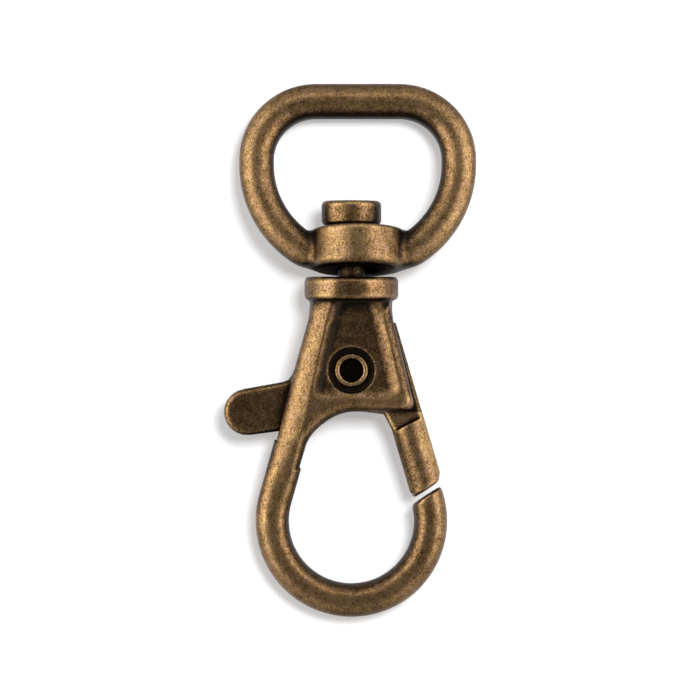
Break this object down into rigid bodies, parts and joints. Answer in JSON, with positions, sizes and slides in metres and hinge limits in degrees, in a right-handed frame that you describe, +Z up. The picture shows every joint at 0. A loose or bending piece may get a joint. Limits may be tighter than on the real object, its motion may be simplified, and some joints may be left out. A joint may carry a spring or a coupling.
{
  "type": "swivel lobster clasp",
  "caption": "Swivel trigger snap hook with a loose D-shaped strap eye, a sprung thumb lever gate and an antique bronze finish.",
  "frame": {"origin": "centre of the hook's round bowl", "axes": "+Z up the swivel axis towards the strap bar, -Y out of the clasp's front, +X towards the gate"},
  "size_m": [0.018, 0.0071, 0.0381],
  "materials": {
    "antique_bronze": "antique bronze plating, dark in the recesses and rubbed bright on the ridges",
    "antique_bronze_rivet": "antique bronze plating, darker",
    "spring_steel": "drawn steel wire"
  },
  "bodies": {
    "eye": {"eye_ring": "antique_bronze"},
    "swivel_pin": {"swivel_rivet": "antique_bronze_rivet"},
    "hook": {"hook_body": "antique_bronze", "pivot_rivet": "antique_bronze_rivet", "gate_spring": "spring_steel"},
    "gate": {"gate_lever": "antique_bronze"}
  },
  "joints": [
    {"name": "eye_rock", "type": "hinge", "parent": "eye", "child": "swivel_pin", "pos_m": [0, 0, 0.01931], "axis": [-1, 0, 0], "range_deg": [0, 17]},
    {"name": "swivel", "type": "hinge", "parent": "swivel_pin", "child": "hook", "pos_m": [0, 0, 0.0155], "axis": [0, 0, 1], "continuous": true},
    {"name": "gate_hinge", "type": "hinge", "parent": "hook", "child": "gate", "pos_m": [0, 0, 0.01076], "axis": [0, 1, 0], "range_deg": [0, 38], "stiffness_Nm_per_rad": 0.006, "springref_deg": -57.3, "deforming": ["gate_spring"]}
  ]
}
